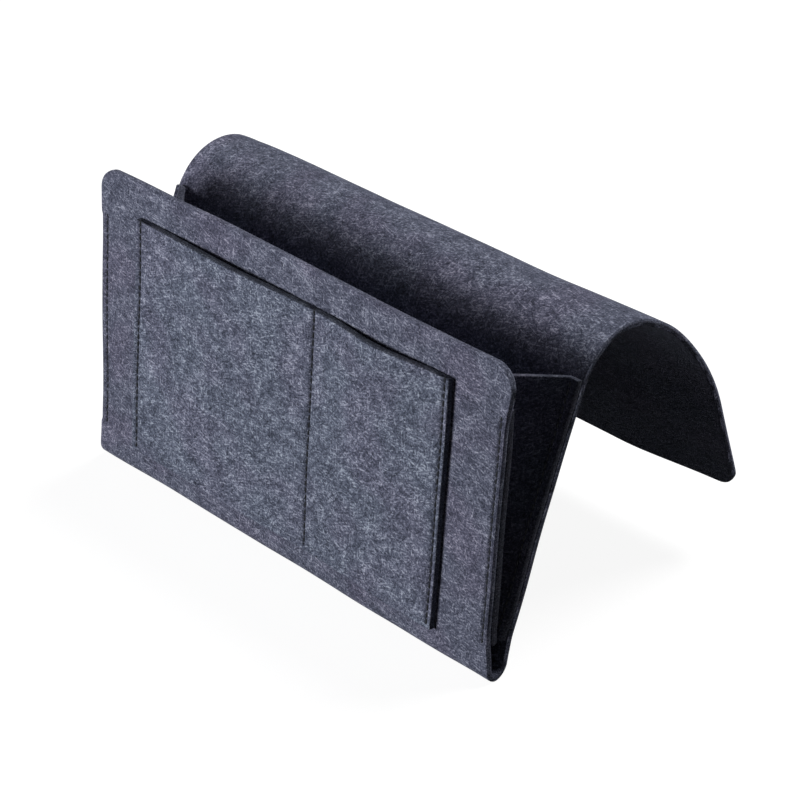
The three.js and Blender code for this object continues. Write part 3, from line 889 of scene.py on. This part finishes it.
def lay_gusset(name, side):
    """One gusset: a stack of V sections, each a little longer than the one under it."""
    ends = list(EDGE_COLUMNS) + [gusset_tall - inset for inset in EDGE_COLUMNS]
    rows = spread_lines(0, gusset_tall, ROW_STEP, ends)
    plain = np.linspace(FLANGE_PLAIN, 1, FLANGE_COLUMNS).tolist()
    flange = np.array([inset / FLANGE for inset in EDGE_COLUMNS] + plain)
    leaf = np.linspace(1, 2, LEAF_COLUMNS)[1:]
    crease = np.linspace(2, 3, CREASE_COLUMNS)[1:-1]
    shares = np.concatenate([flange, leaf, crease, 5 - leaf[::-1], 5 - flange[::-1]])
    shares = np.unique(np.round(shares, 5))
    sections = [gusset_section(gusset_low.z + row, shares) for row in rows]
    plan = np.array([section[0] for section in sections])
    along = np.array([section[1] for section in sections])
    total = np.array([section[2] for section in sections])
    for _ in range(SMOOTHINGS):
        plan[:, 1:-1] = (plan[:, :-2] + 2 * plan[:, 1:-1] + plan[:, 2:]) / 4
    v = np.repeat(rows[:, None], len(shares), axis=1)
    half = total[:, None] / 2
    from_side = np.minimum(along, total[:, None] - along)
    trim = EDGE_TRIM[side] * (along > half) * np.clip(1 - from_side / TRIM_WIDE, 0, 1)
    trim *= ease(v, *(gusset_tall - below for below in TRIM_FROM_TOP))
    inward = np.clip((from_side - FLANGE) / (half - FLANGE), 0, 1)
    dip = CREASE_DIP * inward * ease(v, gusset_tall - DIP_FROM_TOP, gusset_tall)
    middle = np.stack([plan[..., 0] - trim, plan[..., 1], gusset_low.z + v - dip], axis=2)
    edge = np.minimum(from_side, np.minimum(v, gusset_tall - v))
    sewn = within(v, SEAM_END, gusset_tall - SEAM_END)
    sinks = (sunk(from_side - (WIDTH / 2 - GUSSET_SEAM)) * sewn, np.zeros_like(v))
    flat = np.stack([along - half + FELT_APART * side, v], axis=2)
    return lay_felt(name, middle, flat, edge, sinks, gusset_felt, mirror=side)


gussets = {"left": lay_gusset("left_bellows", -1), "right": lay_gusset("right_bellows", 1)}
gusset_narrow = gusset_section(gusset_low.z, np.zeros(1))[2]
gusset_wide = gusset_section(gusset_high.z, np.zeros(1))[2]
print("gusset cut", round(gusset_narrow, 4), "to", round(gusset_wide, 4), "by", round(gusset_tall, 4))

# %% [markdown]
# ## Stitches
# Every seam is a lockstitch in dark thread, about 4.6 mm from hole to hole. On a face it shows as short
# bars that come out of the felt, lie on it and go in again. Geometry Nodes follows a route for each seam:
# it is resampled at the stitch pitch, and one bent bar is set at every point, along the route and flat
# on the face. The result is turned into a plain mesh.

# %% Thread finish
def thread_finish():
    """Dark twisted thread: pale and dark bands run slantwise round it."""
    material = bpy.data.materials.new("dark_thread")
    material.use_nodes = True
    bench = Bench(material.node_tree)
    coordinates = bench.add("ShaderNodeTexCoord", out="Object")
    twist = bench.add("ShaderNodeTexWave", {"wave_type": "BANDS", "bands_direction": "DIAGONAL"}, {
        "Vector": coordinates, "Scale": 900, "Distortion": 1.5, "Detail": 1})
    colour = bench.add("ShaderNodeValToRGB", {"stops": [
        (0.15, (0.005, 0.006, 0.008)), (0.85, (0.018, 0.020, 0.026))]}, {"Fac": twist})
    relief = bench.add("ShaderNodeBump", sockets={"Strength": 0.5, "Distance": 0.0001, "Height": twist})
    thread = bench.add("ShaderNodeBsdfPrincipled", sockets={
        "Base Color": colour, "Roughness": 0.7, "Specular IOR Level": 0.2, "Normal": relief})
    bench.add("ShaderNodeOutputMaterial", sockets={"Surface": thread})
    return material


dark_thread = thread_finish()
print("thread:", dark_thread.name)

# %% Stitch nodes
STITCH_PITCH = 0.0046
STITCH_LENGTH = 0.0034
THREAD_RADIUS = 0.00060
STITCH_DIP = 0.0006
STITCH_RISE = 0.0005
STITCH_WANDER = 0.09
STITCH_LEAST = (0.92, 0.92, 0.85)
STITCH_MOST = (1.06, 1.06, 1.15)
BAR_STEPS = 6
THREAD_SIDES = 6


def stitch_tree():
    """Node tree that sets stitches along a route of edges."""
    tree = bpy.data.node_groups.new("stitches", "GeometryNodeTree")
    bench = Bench(tree)
    face = tree.interface
    face.new_socket("Route", in_out="INPUT", socket_type="NodeSocketGeometry")
    face.new_socket("Pitch", in_out="INPUT", socket_type="NodeSocketFloat")
    face.new_socket("Face Normal", in_out="INPUT", socket_type="NodeSocketVector")
    face.new_socket("Seed", in_out="INPUT", socket_type="NodeSocketInt")
    face.new_socket("Thread", in_out="INPUT", socket_type="NodeSocketMaterial")
    face.new_socket("Stitches", in_out="OUTPUT", socket_type="NodeSocketGeometry")
    given = tree.nodes.new("NodeGroupInput")
    route, pitch, normal, seed, thread = (Wire(bench, given.outputs[i]) for i in range(5))

    line = bench.add("GeometryNodeMeshToCurve", sockets={"Mesh": route})
    holes = bench.add("GeometryNodeResampleCurve", {"mode": "LENGTH"}, {"Curve": line, "Length": pitch})
    bar_line = bench.add("GeometryNodeCurveQuadraticBezier", sockets={
        "Resolution": BAR_STEPS, "Start": (-STITCH_LENGTH / 2, 0, -STITCH_DIP),
        "Middle": (0, 0, STITCH_DIP + STITCH_RISE), "End": (STITCH_LENGTH / 2, 0, -STITCH_DIP)})
    ring = bench.add("GeometryNodeCurvePrimitiveCircle", {"mode": "RADIUS"}, {
        "Resolution": THREAD_SIDES, "Radius": THREAD_RADIUS})
    bar = bench.add("GeometryNodeCurveToMesh", sockets={
        "Curve": bar_line, "Profile Curve": ring, "Fill Caps": True})
    tangent = bench.add("GeometryNodeInputTangent")
    ahead = bench.add("FunctionNodeAlignRotationToVector", {"axis": "X"}, {"Vector": tangent})
    flat = bench.add("FunctionNodeAlignRotationToVector", {"axis": "Z", "pivot_axis": "X"}, {
        "Rotation": ahead, "Vector": normal})
    wander = bench.add("FunctionNodeRandomValue", {"data_type": "FLOAT"}, {
        "Min_001": -STITCH_WANDER, "Max_001": STITCH_WANDER, "Seed": seed}, out="Value_001")
    turn = bench.add("FunctionNodeAxisAngleToRotation", sockets={"Axis": (0, 0, 1), "Angle": wander})
    laid = bench.add("FunctionNodeRotateRotation", {"rotation_space": "LOCAL"}, {
        "Rotation": flat, "Rotate By": turn})
    stretch = bench.add("FunctionNodeRandomValue", {"data_type": "FLOAT_VECTOR"}, {
        "Min": STITCH_LEAST, "Max": STITCH_MOST, "Seed": seed}, out="Value")
    rows = bench.add("GeometryNodeInstanceOnPoints", sockets={
        "Points": holes, "Instance": bar, "Rotation": laid, "Scale": stretch})
    real = bench.add("GeometryNodeRealizeInstances", sockets={"Geometry": rows})
    smooth = bench.add("GeometryNodeSetShadeSmooth", sockets={"Geometry": real})
    dressed = bench.add("GeometryNodeSetMaterial", sockets={"Geometry": smooth, "Material": thread})
    bench.add("NodeGroupOutput", sockets={"Stitches": dressed})
    return tree


def grow(name, tree, mesh, values):
    """Runs a node tree once on a mesh and keeps the result as a plain mesh object."""
    holder = bpy.data.objects.new(name, mesh)
    bpy.context.scene.collection.objects.link(holder)
    modifier = holder.modifiers.new("grow", "NODES")
    modifier.node_group = tree
    for socket in tree.interface.items_tree:
        if socket.in_out == "INPUT" and socket.name in values:
            modifier[socket.identifier] = values[socket.name]
    evaluated = holder.evaluated_get(bpy.context.evaluated_depsgraph_get())
    grown = bpy.data.meshes.new_from_object(evaluated)
    holder.modifiers.clear()
    holder.data = grown
    grown.name = name
    return holder


stitches = stitch_tree()
print("stitch nodes:", len(stitches.nodes))

# %% [markdown]
# A seam's two threads show on the two outer faces of the layers it holds: the needle thread on the side
# that faced the machine, the bobbin thread on the other. The routes are drawn on the same faces as the
# felt, and settle with it, so the stitches lie in their grooves.

# %% Seam routes
ROUTE_STEP = 0.004
THREAD_PROUD = 0.0003
ON_FACE = SEAM_SINK - THREAD_PROUD
BOTTOM_DEEPER = 0.0004
SEAM_POINTS = 36
GUSSET_SEED = 10
FRONT_NORMAL = (0, -1, 0)
INSIDE_NORMAL = (0, 1, 0)
REAR_NORMAL = (0, math.cos(LEAN), -math.sin(LEAN))
BACK_NORMAL = (0, -math.cos(LEAN), math.sin(LEAN))


def run(start, end):
    """Points from start to end, close enough to follow the felt."""
    count = max(2, round((Vector(end) - Vector(start)).length / ROUTE_STEP))
    return np.linspace(start, end, count)


def sew(name, runs, normal, seed):
    """One thread's stitches along runs of points on a face."""
    points = []
    edges = []
    for line in runs:
        sunken = line - np.array(normal) * ON_FACE
        edges += [(len(points) + i, len(points) + i + 1) for i in range(len(line) - 1)]
        points += settle(sunken).tolist()
    mesh = bpy.data.meshes.new(name + "_route")
    mesh.from_pydata(points, edges, [])
    seam = grow(name, stitches, mesh, {
        "Pitch": STITCH_PITCH, "Face Normal": normal, "Seed": seed, "Thread": dark_thread})
    print(name, "faces:", len(seam.data.polygons))
    return seam


def pocket_edge_runs(y, deeper=0):
    """The pocket's left side, its bottom, which may lie deeper, and its right side."""
    left_top, right_top = (-POCKET_SEAM, y, POCKET_SEAM_TOP), (POCKET_SEAM, y, POCKET_SEAM_TOP)
    left_low, right_low = (-POCKET_SEAM, y, POCKET_BOTTOM_SEAM), (POCKET_SEAM, y, POCKET_BOTTOM_SEAM)
    bottom = run(left_low, right_low) + (0, deeper, 0)
    return [run(left_top, left_low), bottom, run(right_low, right_top)]


def divider_runs(y):
    """The one seam off the pocket's middle."""
    return [run((DIVIDER, y, POCKET_SEAM_TOP), (DIVIDER, y, POCKET_BOTTOM_SEAM + SEAM_END))]


def gusset_runs(side, face):
    """A gusset seam from top to bottom, on the face whose Y is known at each height."""
    return [np.array([(side * GUSSET_SEAM, face(z), z) for z in
                      np.linspace(GUSSET_SEAM_HIGH, GUSSET_SEAM_LOW, SEAM_POINTS)])]


def flange_front(z):
    """Y of the front flange's face inside the pouch."""
    return FRONT_INSIDE + FLANGE_GAP + FELT


def flange_back(z):
    """Y of the back flange's face inside the pouch."""
    return back_inside(z) - (FLANGE_GAP + FELT)


def rear_face(z):
    """Y of the back's outer face."""
    return back_inside(z) + FELT / math.cos(LEAN)


pocket_face = FRONT_FACE - POCKET_GAP - FELT
pocket_seams = (
    ("pocket_edge_needle", pocket_edge_runs(pocket_face, BOTTOM_DEEPER), FRONT_NORMAL),
    ("pocket_edge_bobbin", pocket_edge_runs(FRONT_INSIDE), INSIDE_NORMAL),
    ("divider_needle", divider_runs(pocket_face), FRONT_NORMAL),
    ("divider_bobbin", divider_runs(FRONT_INSIDE), INSIDE_NORMAL),
)
seams = {}
for seed, (name, runs, normal) in enumerate(pocket_seams, start=1):
    seams[name] = sew(name, runs, normal, seed)
for seed, hand, side in ((GUSSET_SEED, "left", -1), (GUSSET_SEED + 1, "right", 1)):
    for layer, face, normal in (
        ("front_needle", lambda z: FRONT_FACE, FRONT_NORMAL),
        ("front_bobbin", flange_front, INSIDE_NORMAL),
        ("back_needle", rear_face, REAR_NORMAL),
        ("back_bobbin", flange_back, BACK_NORMAL),
    ):
        name = f"{hand}_{layer}"
        seams[name] = sew(name, gusset_runs(side, face), normal, seed)

# %% [markdown]
# ## Holders
# Each piece hides the imported parts that it stands for. The pocket and the stitches on the front are
# parented to a holder for the front, and the needle stitches on the back's outer face to one for the back.
# The two sheets, the gussets and the gusset seams' bobbin stitches are baked where they lie.

crease_point = Vector((0, (FRONT_INSIDE + back_inside(gusset_low.z)) / 2, gusset_low.z))

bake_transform(pouch_sheet)
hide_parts("front_panel", "back_panel")
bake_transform(arch_sheet)
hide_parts("mattress_flap", "back_panel")
SHEET_LENGTH - HALF_UP_BACK
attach(pocket, "front")
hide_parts("pocket_panel")
for hand, gusset in gussets.items():
    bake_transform(gusset)
    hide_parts(f"{hand}_gusset")
for name, seam in seams.items():
    if name.endswith(("front_bobbin", "back_bobbin")):
        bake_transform(seam)
    else:
        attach(seam, "back" if name.endswith("back_needle") else "front")
    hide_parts(f"{name}_thread")
felt_pieces = [pouch_sheet, arch_sheet, pocket, *gussets.values()]
print("pieces:", len(felt_pieces) + len(seams))

# %% [markdown]
# ## Size
# The finished look should fill the same box as the imported model, apart from a few millimetres where soft
# felt curls or stretches.

# %% End
print("end of script")
